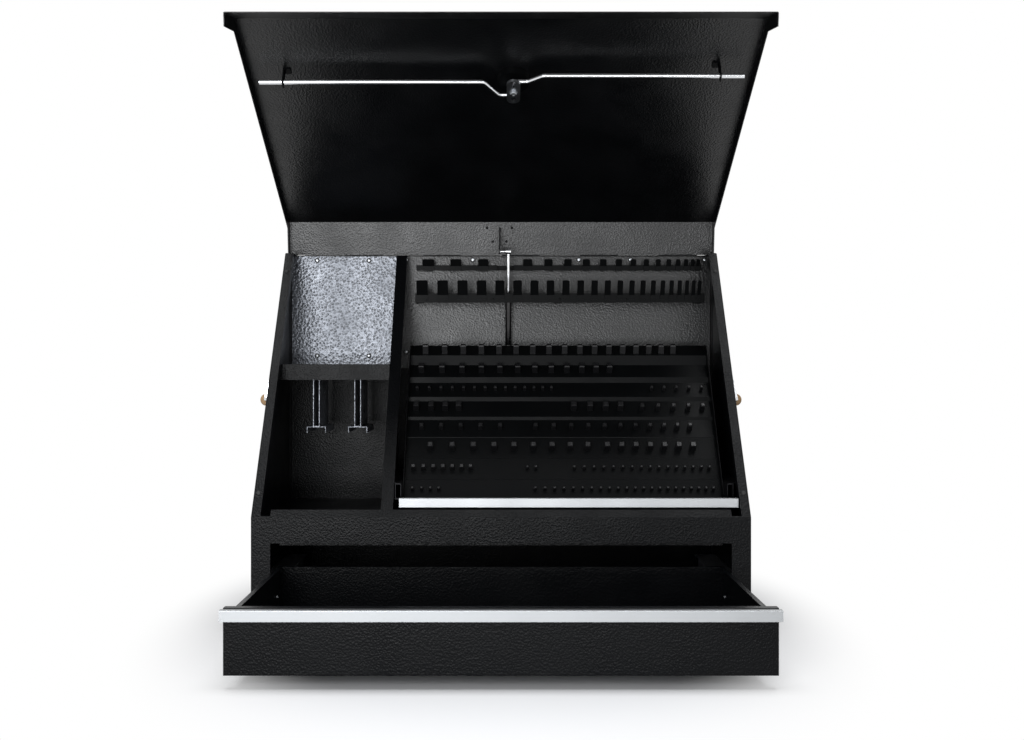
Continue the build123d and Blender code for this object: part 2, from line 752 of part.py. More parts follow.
jog_start = 30.0  # from the lock's centre to where a rod turns aside


def make_rod(side, along):
    """One lock rod: straight from its tip, jogged to its eye beside the lock, with a pin into the cam."""
    eye_along = lock_along + side * lock_pin_radius
    route = [
        (side * rod_reach, along),
        (lock_x + side * (jog_start + rod_jog), along),
        (lock_x + side * jog_start, eye_along),
        (lock_x, eye_along),
    ]
    rod_plane = lid_slope.offset(rod_depth)
    with BuildPart() as rod:
        with BuildLine(rod_plane):
            FilletPolyline(*route, radius=rod_bend)
        tip = rod_plane.from_local_coords(Vector(*route[0], 0))
        with BuildSketch(Plane(origin=tip, x_dir=lid_slope.z_dir, z_dir=(-side, 0, 0))):
            Circle(rod_radius)
        sweep()
        with BuildSketch(rod_plane):
            with Locations(route[-1]):
                Circle(eye_pin_radius)
        extrude(amount=rod_radius + contact + cam_thickness + 2.0)
    return rod


lock_rod_left = make_rod(-1, left_rod_along)
save(lock_rod_left, "lock_rod_left")
lock_rod_right = make_rod(1, right_rod_along)
save(lock_rod_right, "lock_rod_right")

with BuildPart() as rod_guides:
    for side, along in ((-1, left_rod_along), (1, right_rod_along)):
        guide_x = side * (rod_reach - guide_from_tip)
        guide_foot = lid_slope.from_local_coords(Vector(guide_x, along, 0))
        with BuildSketch(Plane(origin=guide_foot, x_dir=lid_slope.y_dir, z_dir=(side, 0, 0))):
            with Locations((0, side * (rod_depth + guide_head) / 2)):
                Rectangle(guide_width, rod_depth + guide_head)
            with Locations((0, side * rod_depth)):
                Circle(rod_radius + guide_clearance, mode=Mode.SUBTRACT)
        extrude(amount=-guide_thickness)
        with BuildSketch(lid_slope):
            with Locations((guide_x - side * guide_width / 2, along)):
                Rectangle(guide_width, guide_width)
        extrude(amount=guide_thickness)
save(rod_guides, "rod_guides")

# ---------------------------------------------------------------- drawer and its slides
front_face = front - front_gap - front_depth - drawer_out  # of the open drawer
drawer_front_back = front - front_gap - drawer_out
drawer_side = post_inner - slide_depth  # outer face of the drawer's sides


def pull_profile(plane):
    """The cut end of a pull: a flat back, a level web and a face whose free edge turns in behind it."""
    with BuildSketch(plane) as profile:
        with Locations((0, 0)):
            Rectangle(pull_depth, pull_wall, align=(Align.MIN, Align.MAX))
            Rectangle(pull_wall, pull_height, align=(Align.MIN, Align.MAX))
        with Locations((pull_depth, 0)):
            Rectangle(pull_wall, pull_height, align=(Align.MAX, Align.MAX))
        with Locations((0, -pull_height)):
            Rectangle(2.4 * pull_wall, pull_wall, align=(Align.MIN, Align.MIN))
        fillet(profile.vertices().group_by(Axis.Y)[-1].sort_by(Axis.X)[0], radius=1.6)
    return profile.sketch


with BuildPart() as drawer_front:
    with BuildSketch(Plane.XZ.offset(-drawer_front_back)):
        with Locations((0, (front_bottom + front_top) / 2)):
            Rectangle(2 * front_half, front_top - front_bottom)
    extrude(amount=front_depth)
    front_outer = drawer_front.faces().sort_by(Axis.Y)[0]
    fillet(front_outer.edges(), radius=bend)
    offset(amount=-sheet, openings=drawer_front.faces().sort_by(Axis.Y)[-1])
save(drawer_front, "drawer_front")

with BuildPart() as drawer_pull:
    pull_half = front_half + drawer_pull_overhang
    pull_plane = Plane(
        origin=(-pull_half, front_face - pull_depth, front_top - drawer_pull_drop),
        x_dir=(0, 1, 0),
        z_dir=(1, 0, 0),
    )
    extrude(to_extrude=pull_profile(pull_plane), amount=2 * pull_half)
save(drawer_pull, "drawer_pull")

with BuildPart() as drawer_box:
    drawer_back_y = drawer_front_back + drawer_length
    with BuildSketch(Plane.XY.offset(drawer_bottom)):
        with Locations((0, (drawer_front_back + drawer_back_y) / 2)):
            Rectangle(2 * drawer_side, drawer_length)
    extrude(amount=drawer_top - drawer_bottom)
    offset(amount=-thin_sheet, openings=drawer_box.faces().sort_by(Axis.Z)[-1])
    with BuildSketch(Plane.XY.offset(drawer_top)):
        with Locations((0, (drawer_front_back + drawer_back_y) / 2)):
            Rectangle(2 * drawer_side, drawer_length)
            Rectangle(2 * (drawer_side - drawer_hem), drawer_length - 2 * drawer_hem, mode=Mode.SUBTRACT)
    extrude(amount=-thin_sheet)
save(drawer_box, "drawer_box")


def slide_channel(web_x, facing, across, section, start, length, middle_height, steel=thin_sheet):
    """A channel of a slide: its web at web_x, its lips turned towards facing, running back from start."""
    with BuildPart() as channel:
        with BuildSketch(Plane.XZ.offset(-start)):
            with Locations((web_x + facing * across / 2, middle_height)):
                Rectangle(across, section)
            with Locations((web_x + facing * (across / 2 + steel), middle_height)):
                Rectangle(across, section - 2 * steel, mode=Mode.SUBTRACT)
        extrude(amount=-length)
    return channel


def telescopic(side, outside_x, section, middle_height, starts, length, names):
    """Nested channels of one slide, from the fixed one to the one on the drawer or tray."""
    nest = thin_sheet + contact
    for i, (start, name) in enumerate(zip(starts, names)):
        if i == len(starts) - 1:
            web_x, facing = outside_x - side * slide_depth, side
            across = slide_depth - i * nest - 2 * contact
        else:
            web_x, facing = outside_x - side * i * nest, -side
            across = slide_depth - (i + 1) * nest - contact
        member_section = section - 2 * i * nest
        save(slide_channel(web_x, facing, across, member_section, start, length, middle_height), name)


slide_start = front + sheet + bend
drawer_slide_length = drawer_length - 6.0

for side, word in ((-1, "left"), (1, "right")):
    starts = [slide_start, slide_start - drawer_out / 2, slide_start - drawer_out]
    names = [f"drawer_slide_{member}_{word}" for member in ("outer", "middle", "inner")]
    telescopic(
        side, side * post_inner, slide_height, drawer_slide_height, starts, drawer_slide_length, names
    )
    slide_bracket = slide_channel(
        side * post_inner,
        side,
        inner_half - post_inner,
        slide_height,
        slide_start,
        drawer_slide_length,
        drawer_slide_height,
        steel=sheet,
    )
    save(slide_bracket, f"drawer_slide_bracket_{word}")

# ---------------------------------------------------------------- socket tray
tier_pitch = (top_tier_height - bottom_tier_height) / (tier_count - 1)
tier_tilts = [22.0, 42.0, 46.0, 48.0, 50.0, 56.0, 58.0, 60.0]  # degrees that each row leans to the front
tier_heights = [top_tier_height - i * tier_pitch for i in range(tier_count)]
tiers = [(behind_slope(tier_setback, z), z, radians(a)) for z, a in zip(tier_heights, tier_tilts)]
pull_bottom = foot_flange_top + tray_lift
pull_top = pull_bottom + pull_height
pull_face = behind_slope(0, pull_top) + tray_pull_gap
apron_y = pull_face + pull_depth + sheet
apron_top = pull_top


def step_between(upper, lower):
    """The two corners between a row's tread and the next one down: a riser, or a ledge if both are steep."""
    (upper_y, upper_z, upper_tilt), (lower_y, lower_z, lower_tilt) = upper, lower
    middle_y = (upper_y + lower_y) / 2
    riser_top = upper_z - (upper_y - middle_y) * tan(upper_tilt)
    riser_foot = lower_z + (middle_y - lower_y) * tan(lower_tilt)
    if riser_top > riser_foot:
        return [(middle_y, riser_top), (middle_y, riser_foot)]
    middle_z = (upper_z + lower_z) / 2
    ledge_back = upper_y - (upper_z - middle_z) / tan(upper_tilt)
    ledge_front = lower_y + (middle_z - lower_z) / tan(lower_tilt)
    return [(ledge_back, middle_z), (ledge_front, middle_z)]


rear_top = tiers[0][1] + (tray_rear - tiers[0][0]) * tan(tiers[0][2])
floor_back = tiers[-1][0] - (tiers[-1][1] - tray_floor) / tan(tiers[-1][2])
tier_path = [(tray_rear, rear_top - tray_rear_flange), (tray_rear, rear_top)]
for upper, lower in zip(tiers, tiers[1:]):
    tier_path += step_between(upper, lower)
tier_path += [(floor_back, tray_floor), (apron_y, tray_floor), (apron_y, apron_top)]

with BuildPart() as socket_tray:
    tier_profile = folded(tier_path, Plane.YZ.offset(tray_left + sheet), sheet)
    extrude(to_extrude=tier_profile, amount=tray_right - tray_left - 2 * sheet)
save(socket_tray, "socket_tray")

end_setback = tier_setback - tray_end_lead - tier_pitch * 0.2
end_outline = [
    (apron_y - sheet, tray_floor - sheet),
    (apron_y - sheet, apron_top),
    (behind_slope(end_setback, apron_top), apron_top),
    (behind_slope(end_setback, rear_top), rear_top),
    (tray_rear, rear_top),
    (tray_rear, tray_floor - sheet),
]

for plane_x, name in ((tray_left, "tray_end_left"), (tray_right - sheet, "tray_end_right")):
    with BuildPart() as tray_end:
        with BuildSketch(Plane.YZ.offset(plane_x)):
            with BuildLine():
                Polyline(*end_outline, close=True)
            make_face()
        extrude(amount=sheet)
    save(tray_end, name)

with BuildPart() as tray_pull:
    upturned = Plane(origin=(tray_left, pull_face, pull_bottom), x_dir=(0, 1, 0), z_dir=(-1, 0, 0))
    extrude(to_extrude=pull_profile(upturned), amount=-(tray_pull_right - tray_left))
save(tray_pull, "tray_pull")

large_rows = [  # tier, first place, last place, how many, last pitch over first
    (0, -180.0, 410.0, 17, 0.62),
    (1, -188.0, 256.0, 12, 0.65),
    (3, -196.0, -98.0, 4, 0.9),
    (3, 168.0, 276.0, 4, 0.9),
    (5, -160.0, 196.0, 9, 0.8),
    (5, 240.0, 434.0, 7, 1.0),
]
medium_rows = [
    (3, 326.0, 466.0, 5, 0.9),
    (4, -182.0, -2.0, 5, 1.0),
    (4, 79.0, 432.0, 11, 0.7),
    (6, -196.0, -68.0, 7, 0.9),
]
small_rows = [
    (2, -196.0, 118.0, 14, 0.72),
    (2, 352.0, 468.0, 5, 1.0),
    (6, 59.0, 78.0, 2, 1.0),
    (6, 164.0, 466.0, 16, 0.8),
    (7, -196.0, -138.0, 4, 0.9),
    (7, 76.0, 470.0, 22, 0.75),
]
post_sizes = (  # name, drive square, height above the tread, rows
    ("large", 12.7, 21.0, large_rows),
    ("medium", 9.5, 17.0, medium_rows),
    ("small", 6.4, 13.0, small_rows),
)

for size, square, post_height, rows in post_sizes:
    with BuildPart() as socket_posts:
        for tier, first, last, count, ratio in rows:
            tier_y, tier_z, tilt = tiers[tier]
            tread = Plane(origin=(0, tier_y, tier_z), x_dir=(1, 0, 0), z_dir=(0, -sin(tilt), cos(tilt)))
            places = [(x, 0) for x in graded(first, last, count, ratio)]
            shank = post_height - post_tip
            for start, length, taper in ((0, shank, 0), (shank, post_tip, post_tip_taper)):
                with BuildSketch(tread.offset(start)):
                    with Locations(*places):
                        Rectangle(square, square)
                extrude(amount=length, taper=taper)
    save(socket_posts, f"socket_posts_{size}")

bracket_start = behind_slope(divider_setback, tray_slide_height + tray_slide_section / 2) + bend
tray_rails = (
    (-1, "left", tray_left, divider_x),
    (1, "right", tray_right, inner_half),
)
for side, word, tray_face, wall_x in tray_rails:
    rail_x = tray_face + side * slide_depth
    names = [f"tray_slide_{member}_{word}" for member in ("outer", "inner")]
    starts = [tray_slide_start, tray_slide_start]
    telescopic(side, rail_x, tray_slide_section, tray_slide_height, starts, tray_slide_length, names)
    tray_bracket = slide_channel(
        rail_x,
        side,
        abs(wall_x - rail_x),
        tray_slide_section,
        bracket_start,
        tray_slide_start + tray_slide_length - bracket_start,
        tray_slide_height,
        steel=sheet,
    )
    save(tray_bracket, f"tray_slide_bracket_{word}")

# ---------------------------------------------------------------- side handles
handle_plate_length = 122.0
handle_plate_height = 46.0
handle_plate_thickness = 2.5
handle_ear_width = 8.0
handle_ear_radius = 6.5
handle_pin_length = 20.0
handle_bend = 10.0
handle_reach = hypot(handle_drop, handle_lean)
pivot_x = half + handle_pivot_out
plate_bottom = handle_height - handle_plate_height / 2
bar_inside = bail_bar[1] / 2 * handle_reach / handle_drop  # of the leaning arms' middle, measured level
rest_drop = handle_plate_height / 2 - handle_plate_thickness  # from the pivot to the top of the rest
rest_reach = handle_pivot_out + rest_drop * handle_lean / handle_drop - bar_inside

with BuildPart() as handle_plate_right:
    with BuildSketch(Plane.YZ.offset(half)):
        with Locations((handle_middle, handle_height)):
            Rectangle(handle_plate_length, handle_plate_height)
        chamfer(vertices(), length=5.0)
    extrude(amount=handle_plate_thickness)
    with Locations((half, handle_middle, plate_bottom)):
        Box(
            rest_reach - contact,
            handle_plate_length - 2 * 5.0,
            handle_plate_thickness,
            align=(Align.MIN, Align.CENTER, Align.MIN),
        )
    ear_middle = (handle_span - handle_pin_length) / 2
    for side in (-1, 1):
        with BuildSketch(Plane.XZ.offset(-(handle_middle + side * ear_middle - handle_ear_width / 2))):
            with Locations((pivot_x, handle_height)):
                Circle(handle_ear_radius)
            with Locations((half, handle_height)):
                Rectangle(handle_pivot_out, 2 * handle_ear_radius, align=(Align.MIN, Align.CENTER))
            with Locations((pivot_x, handle_height)):
                Circle(bail_pin_radius + pin_clearance, mode=Mode.SUBTRACT)
        extrude(amount=-handle_ear_width)
save(handle_plate_right, "handle_plate_right")

bail_plane = Plane(
    origin=(pivot_x, handle_middle, handle_height), x_dir=(0, 1, 0), z_dir=(-handle_drop, 0, -handle_lean)
)

with BuildPart() as handle_bail_right:
    bail_half = handle_span / 2
    bar_half = bail_bar[0] / 2
    with BuildSketch(bail_plane):
        with Locations((0, handle_reach / 2)):
            Rectangle(handle_span + bail_bar[0], handle_reach + 2 * bar_half)
            fillet(vertices().group_by(Axis.Y)[-1], radius=handle_bend)
        with Locations((0, handle_reach / 2 - bail_bar[0])):
            Rectangle(handle_span - bail_bar[0], handle_reach + bail_bar[0], mode=Mode.SUBTRACT)
        with Locations((-bail_half, 0), (bail_half, 0)):
            Circle(bail_pin_radius + 1.0)
    extrude(amount=bail_bar[1] / 2, both=True)
    for side in (-1, 1):
        with BuildSketch(Plane.XZ.offset(-(handle_middle + side * (bail_half + bar_half)))):
            with Locations((pivot_x, handle_height)):
                Circle(bail_pin_radius)
        extrude(amount=side * handle_pin_length)
save(handle_bail_right, "handle_bail_right")

with BuildPart() as handle_grip_right:
    grip_start = bail_plane.from_local_coords(Vector(-grip_length / 2, handle_reach, 0))
    with BuildSketch(Plane(origin=grip_start, x_dir=bail_plane.z_dir, z_dir=(0, 1, 0))):
        Circle(grip_radius)
        Rectangle(bail_bar[1] + pin_clearance, bail_bar[0] + pin_clearance, mode=Mode.SUBTRACT)
    extrude(amount=grip_length)
    grip_rims = handle_grip_right.edges().filter_by(GeomType.CIRCLE).group_by(SortBy.RADIUS)[-1]
    chamfer(grip_rims, length=3.5)
save(handle_grip_right, "handle_grip_right")

for right_piece, name in (
    (handle_plate_right, "handle_plate_left"),
    (handle_bail_right, "handle_bail_left"),
    (handle_grip_right, "handle_grip_left"),
):
    with BuildPart() as left_piece:
        mirror(right_piece.part, about=Plane.YZ)
    save(left_piece, name)
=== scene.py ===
"""Slant-front tool chest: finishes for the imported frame, its small fittings, and the studio around it."""

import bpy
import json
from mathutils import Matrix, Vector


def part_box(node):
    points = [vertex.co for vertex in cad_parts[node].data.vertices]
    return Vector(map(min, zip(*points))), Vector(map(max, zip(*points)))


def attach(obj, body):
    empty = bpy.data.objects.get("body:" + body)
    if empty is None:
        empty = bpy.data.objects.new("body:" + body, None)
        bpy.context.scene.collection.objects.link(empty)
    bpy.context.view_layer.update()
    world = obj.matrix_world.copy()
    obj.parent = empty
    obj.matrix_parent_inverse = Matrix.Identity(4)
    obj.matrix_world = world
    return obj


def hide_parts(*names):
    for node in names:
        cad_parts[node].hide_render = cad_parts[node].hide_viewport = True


bl_info = {
    "name": "Slant-front tool chest",
    "version": (1, 0, 0),
    "blender": (4, 5, 0),
    "location": "3D View > Sidebar > Tool Chest",
    "description": "Finishes, fasteners, grips, lock and studio of a slant-front tool chest",
    "category": "Object",
}

import json
from math import pi, radians

import bmesh
import bpy
from bpy.props import FloatProperty, FloatVectorProperty, IntProperty, PointerProperty, StringProperty
from mathutils import Matrix, Vector

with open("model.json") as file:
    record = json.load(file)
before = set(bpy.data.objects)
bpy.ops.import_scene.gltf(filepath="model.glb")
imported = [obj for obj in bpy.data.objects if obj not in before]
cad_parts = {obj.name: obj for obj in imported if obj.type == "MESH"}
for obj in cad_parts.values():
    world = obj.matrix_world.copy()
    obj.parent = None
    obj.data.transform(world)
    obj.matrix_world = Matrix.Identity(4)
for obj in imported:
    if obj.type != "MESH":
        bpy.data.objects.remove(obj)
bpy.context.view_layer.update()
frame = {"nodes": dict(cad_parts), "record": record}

MM = 0.001
IMAGE_WIDTH = 1024
FOCAL_PIXELS = 1268  # from fitting the camera to the photograph's straight edges
SHIFT_PIXELS = (11, -9)
CAMERA_PLACE = (0, -2.911, 0.5775)
SHARP_ANGLE = radians(38)  # an edge that turns more than this stays sharp
LID_SLOPE_OUT = Vector((0.0, 0.45502, 0.89047))  # square to the open lid's large panel, away from the cabinet
LOCK_CENTRE = Vector((26.0, -245.99, 1174.845)) * MM  # on the lid's inner face
STRUT_AXIS = Vector((0.0, -0.16675, 0.98600))
STRUT_FOOT = Vector((18.0, 235.5, 598.8)) * MM  # the strut's lower pivot
BRACKET_EDGE = Vector((0.0, 252.0, 868.6))  # lower edge of the strut bracket's front face, in mm
BRACKET_LEAN = 0.1538  # how far that face leans forward for each mm up


# ---------------------------------------------------------------- sizes and colours
class ChestFinish(bpy.types.PropertyGroup):
    """Colours of the finishes, and the size of the hammered paint's dimples."""

    paint: StringProperty(name="Paint", description="Black hammered powder coat, sRGB hex", default="#060709")
    bay_paint: StringProperty(name="Bay panel", description="Grey hammered coat of the bay's back", default="#71757d")
    aluminium: StringProperty(name="Pulls", description="Satin anodised aluminium", default="#989a9c")
    zinc: StringProperty(name="Slides", description="Clear zinc plating on the slides", default="#b9bcc0")
    hinge: StringProperty(name="Hinge", description="Dark plated hinge steel", default="#6d6f73")
    chrome: StringProperty(name="Rods", description="Bright plated lock rods and strut rod", default="#dfe1e4")
    strut: StringProperty(name="Strut", description="Gloss black strut tube", default="#0a0a0b")
    rack: StringProperty(name="Racks", description="Satin black coat of racks and hooks", default="#08090a")
    post: StringProperty(name="Posts", description="Black oxide on the drive posts", default="#141416")
    lock: StringProperty(name="Lock", description="Zinc die casting of the lock", default="#a9acb0")
    grip: StringProperty(name="Grips", description="Tan moulded rubber of the grips", default="#bf9d77")
    rubber: StringProperty(
        name="Rubber", description="Black rubber and plastic of bumpers and end caps", default="#141414"
    )
    dimple: FloatProperty(
        name="Dimple", description="Pitch of the hammered dimples", default=6.0 * MM, subtype="DISTANCE", unit="LENGTH"
    )


class ChestFittings(bpy.types.PropertyGroup):
    """Sizes of the screws, rivets and other small fittings."""

    screw_radius: FloatProperty(
        name="Screw head", description="Radius of a pan head", default=4.0 * MM, subtype="DISTANCE", unit="LENGTH"
    )
    screw_height: FloatProperty(
        name="Screw height", description="Height of a pan head", default=2.0 * MM, subtype="DISTANCE", unit="LENGTH"
    )
    rivet_radius: FloatProperty(
        name="Rivet head", description="Radius of a rivet head", default=3.2 * MM, subtype="DISTANCE", unit="LENGTH"
    )
    rivet_height: FloatProperty(
        name="Rivet height", description="Height of a rivet head", default=1.2 * MM, subtype="DISTANCE", unit="LENGTH"
    )
    grip_ribs: IntProperty(name="Grip ribs", description="Number of ribs along a grip", default=9, min=3, max=20)
    grip_groove: FloatProperty(
        name="Grip groove", description="Depth between the grip's ribs", default=1.3 * MM, subtype="DISTANCE",
        unit="LENGTH",
    )
    cap_thickness: FloatProperty(
        name="End cap", description="Thickness of a pull's end cap", default=1.2 * MM, subtype="DISTANCE",
        unit="LENGTH",
    )


class ChestStudio(bpy.types.PropertyGroup):
    """Lights and floor of the studio."""

    key_power: FloatProperty(name="Key light", description="Soft box at the left front", default=42.0)
    fill_power: FloatProperty(name="Fill light", description="Soft box at the right front", default=14.0)
    top_power: FloatProperty(name="Top light", description="Soft box overhead", default=110.0)
    low_power: FloatProperty(name="Low light", description="Long strip near the floor in front", default=32.0)
    world_light: FloatProperty(name="Room light", description="Light from all round", default=0.2)
    floor: FloatVectorProperty(
        name="Floor", description="Colour of the floor", default=(0.80, 0.80, 0.81), subtype="COLOR", size=3
    )


# ---------------------------------------------------------------- materials
def linear(colour):
    """A hex colour, as written for a screen, as the linear RGBA that a shader takes."""
    values = [int(colour[i : i + 2], 16) / 255 for i in (1, 3, 5)]
    return tuple(v / 12.92 if v <= 0.04045 else ((v + 0.055) / 1.055) ** 2.4 for v in values) + (1.0,)


def add_node(tree, kind, settings=None, **links):
    """Adds a node. settings are its properties and sockets; links are sockets fed by another node's output."""
    node = tree.nodes.new(kind)
    for name, value in (settings or {}).items():
        if hasattr(node, name):
            setattr(node, name, value)
        else:
            node.inputs[name].default_value = value
    for name, output in links.items():
        tree.links.new(output, node.inputs[int(name[1:]) if name[1:].isdigit() else name.replace("_", " ")])
    return node


def new_material(name):
    """An empty node material with its output node."""
    material = bpy.data.materials.new(name)
    material.use_nodes = True
    material.node_tree.nodes.clear()
    output = add_node(material.node_tree, "ShaderNodeOutputMaterial")
    return material, material.node_tree, output


def surface_material(name, colour, settings, pitch, depth, rough=(0.3, 0.4), tint=0.9, stretch=(1, 1, 1), cells=False):
    """A plated, coated or moulded surface.

    pitch is the real size of its texture in metres and depth its relief. The texture is dimples where cells is
    true, and grain where it is not, and stretch draws it out along an axis, as brushing does. The roughness
    wanders between the two values of rough, and the colour goes down to tint times itself: over wide clouds, or
    in the middle of each dimple, where the darker hollow is painted shade as well as the coat's own hammertone.
    """
    material, tree, output = new_material(name)
    place = add_node(tree, "ShaderNodeTexCoord").outputs["Object"]
    mapped = add_node(tree, "ShaderNodeMapping", {"Scale": stretch}, Vector=place).outputs[0]
    if cells:
        texture = add_node(
            tree, "ShaderNodeTexVoronoi", {"feature": "SMOOTH_F1", "Scale": 1 / pitch, "Smoothness": 0.6}, Vector=mapped
        )
        height = texture.outputs["Distance"]
    else:
        texture = add_node(tree, "ShaderNodeTexNoise", {"Scale": 1 / pitch, "Detail": 3.0}, Vector=mapped)
        height = texture.outputs["Fac"]
    cloud_size = 90 * MM
    wander = add_node(tree, "ShaderNodeTexNoise", {"Scale": 1 / cloud_size, "Detail": 4.0}, Vector=place)
    base = linear(colour)
    # with cells, the ramp darkens each dimple's hollow: painted shade as well as the coat's own hammertone
    ramp = add_node(tree, "ShaderNodeValToRGB", Fac=height if cells else wander.outputs["Fac"])
    ramp.color_ramp.elements[0].position = 0.15 if cells else 0.35
    ramp.color_ramp.elements[1].position = 0.6 if cells else 0.65
    ramp.color_ramp.elements[0].color = tuple(v * tint for v in base[:3]) + (1.0,)
    ramp.color_ramp.elements[1].color = base
    uneven = add_node(
        tree, "ShaderNodeMapRange", {"From Min": 0.3, "From Max": 0.7, "To Min": rough[0], "To Max": rough[1]},
        Value=wander.outputs["Fac"],
    )
    bump = add_node(tree, "ShaderNodeBump", {"Strength": 1.0, "Distance": depth}, Height=height)
    shader = add_node(
        tree, "ShaderNodeBsdfPrincipled", settings,
        Base_Color=ramp.outputs[0], Roughness=uneven.outputs[0], Normal=bump.outputs[0],
    )
    tree.links.new(shader.outputs[0], output.inputs["Surface"])
    return material


materials = {}


def make_materials(finish):
    """The finishes by material slot, and three with no slot: a glossier paint, black zinc and black rubber."""
    metal = {"Metallic": 1.0}
    # hammered powder coat on sheet steel: black, dimpled, glossy between the dimples, and drawn darker in the
    # middle of each dimple, which is painted shade in the hollows as well as the coat's own hammertone; the real
    # dimples are about 2 mm apart, and are drawn twice as coarse on black, and three times on grey, so that they
    # show; its specular level is under that of real paint, as the cabinet's front is nearly black in the photograph
    paint = dict(pitch=finish.dimple * 0.65, depth=0.45 * MM, rough=(0.28, 0.38), tint=0.6, cells=True)
    materials["hammered_black_paint"] = surface_material(
        "hammered_black_paint", finish.paint, {"Specular IOR Level": 0.09}, **paint
    )
    # the same coat drawn glossier where the photograph shows it lighter: lid, hinge leaves, strut bracket, tool panel
    materials["hammered_black_gloss"] = surface_material(
        "hammered_black_gloss", finish.paint, {"Specular IOR Level": 0.45}, **paint
    )
    # grey hammered coat of the tool bay's back: its flakes give a metallic sheen; the middle of each dimple is
    # drawn far darker (tint 0.4), painted shade in the hollows as well as the coat's own hammertone
    materials["bay_grey_paint"] = surface_material(
        "bay_grey_paint", finish.bay_paint, {"Specular IOR Level": 0.7, "Metallic": 0.4}, pitch=finish.dimple,
        depth=1.1 * MM, rough=(0.26, 0.38), tint=0.4, cells=True,
    )
    # extruded aluminium, satin anodised: fine die lines along the pull
    materials["bright_pull"] = surface_material(
        "bright_pull", finish.aluminium, metal, pitch=1.2 * MM, depth=0.01 * MM, rough=(0.36, 0.44), tint=0.96,
        stretch=(0.02, 1, 1),
    )
    # cold-rolled steel with clear zinc: cloudy, faintly drawn along the slide
    materials["zinc_slide"] = surface_material(
        "zinc_slide", finish.zinc, metal, pitch=2.5 * MM, depth=0.01 * MM, rough=(0.32, 0.48), tint=0.85,
        stretch=(1, 0.05, 1),
    )
    # the same steel with black zinc, on the tray's slides
    materials["black_zinc"] = surface_material(
        "black_zinc", finish.post, {"Metallic": 0.8}, pitch=2.5 * MM, depth=0.01 * MM, rough=(0.35, 0.5)
    )
    # rolled hinge strip with a dark plating
    materials["hinge_steel"] = surface_material(
        "hinge_steel", finish.hinge, metal, pitch=1.5 * MM, depth=0.01 * MM, rough=(0.38, 0.5), tint=0.85,
        stretch=(0.05, 1, 1),
    )
    # bright plated round bar: nearly a mirror, with a faint draw along it
    materials["chrome_rod"] = surface_material(
        "chrome_rod", finish.chrome, metal, pitch=1.5 * MM, depth=0.004 * MM, rough=(0.10, 0.2), tint=0.95,
        stretch=(0.05, 1, 1),
    )
    # gloss enamel on a drawn tube
    materials["strut_black"] = surface_material(
        "strut_black", finish.strut, {"Specular IOR Level": 0.5}, pitch=6 * MM, depth=0.02 * MM, rough=(0.14, 0.22)
    )
    # satin powder coat, fine orange peel
    materials["black_rack"] = surface_material(
        "black_rack", finish.rack, {"Specular IOR Level": 0.06}, pitch=1.2 * MM, depth=0.03 * MM, rough=(0.32, 0.45)
    )
    # black oxide on drawn square bar: a slight metal sheen
    materials["black_post"] = surface_material(
        "black_post", finish.post, {"Specular IOR Level": 0.5, "Metallic": 0.2}, pitch=1.2 * MM, depth=0.02 * MM,
        rough=(0.32, 0.45),
    )
    # zinc die casting, tumbled
    materials["lock_steel"] = surface_material(
        "lock_steel", finish.lock, metal, pitch=1.6 * MM, depth=0.015 * MM, rough=(0.25, 0.4), tint=0.88
    )
    # moulded rubber with a fine grain, a little darker where hands have been
    materials["tan_grip"] = surface_material(
        "tan_grip", finish.grip, {"Specular IOR Level": 0.35}, pitch=0.9 * MM, depth=0.05 * MM, rough=(0.6, 0.78),
        tint=0.82,
    )
    # moulded black rubber; the same black also stands in for the painted shade of the lock's keyway slot
    materials["black_rubber"] = surface_material(
        "black_rubber", finish.rubber, {"Specular IOR Level": 0.4}, pitch=0.8 * MM, depth=0.03 * MM, rough=(0.5, 0.65)
    )


# nodes whose finish differs from the one that their material slot names
own_finishes = {
    "lid_panel": "hammered_black_gloss",
    "hinge_lid_leaf": "hammered_black_gloss",
    "strut_bracket": "hammered_black_gloss",
    "hinge_cabinet_leaf": "hammered_black_gloss",
    "tool_back_panel": "hammered_black_gloss",
    "tool_hangers": "bay_grey_paint",
}


# ---------------------------------------------------------------- mesh helpers
def along(direction, at):
    """Turns +Z to direction and moves the origin to at."""
    return Matrix.Translation(at) @ Vector(direction).to_track_quat("Z", "Y").to_matrix().to_4x4()


def finish_piece(mesh, name, finish, body, smooth=True):
    """Makes the mesh a piece in that finish, riding on that body."""
    data = bpy.data.meshes.new(name)
    bmesh.ops.recalc_face_normals(mesh, faces=mesh.faces[:])
    mesh.to_mesh(data)
    mesh.free()
    piece = bpy.data.objects.new(name, data)
    bpy.context.scene.collection.objects.link(piece)
    data.materials.append(materials[finish])
    if smooth:
        data.shade_smooth()
        edge = piece.modifiers.new("sharp edges", "EDGE_SPLIT")
        edge.split_angle = SHARP_ANGLE
    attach(piece, body)
    # rubber has no slot of its own in the record
    return piece


def turned(mesh, profile, at, direction, steps=12):
    """Adds a turned form: a profile of (radius, height) points spun about an axis through at."""
    form = bmesh.new()
    points = [form.verts.new((radius, 0, height)) for radius, height in profile]
    edges = [form.edges.new(pair) for pair in zip(points, points[1:])]
    bmesh.ops.spin(
        form, geom=points + edges, cent=(0, 0, 0), axis=(0, 0, 1), angle=2 * pi, steps=steps, use_merge=True
    )
    bmesh.ops.remove_doubles(form, verts=form.verts[:], dist=1e-6)
    bmesh.ops.recalc_face_normals(form, faces=form.faces[:])
    form.transform(along(direction, at))
    data = bpy.data.meshes.new("form")
    form.to_mesh(data)
    form.free()
    mesh.from_mesh(data)
    bpy.data.meshes.remove(data)


def pan_head(mesh, at, direction, radius, height):
    """A pan head with a round-bottomed drive recess."""
    profile = (
        (0, 0), (radius, 0), (radius, 0.35 * height), (0.82 * radius, 0.85 * height), (0.55 * radius, height),
        (0.36 * radius, height), (0.25 * radius, 0.45 * height), (0, 0.4 * height),
    )
    turned(mesh, profile, at, direction)


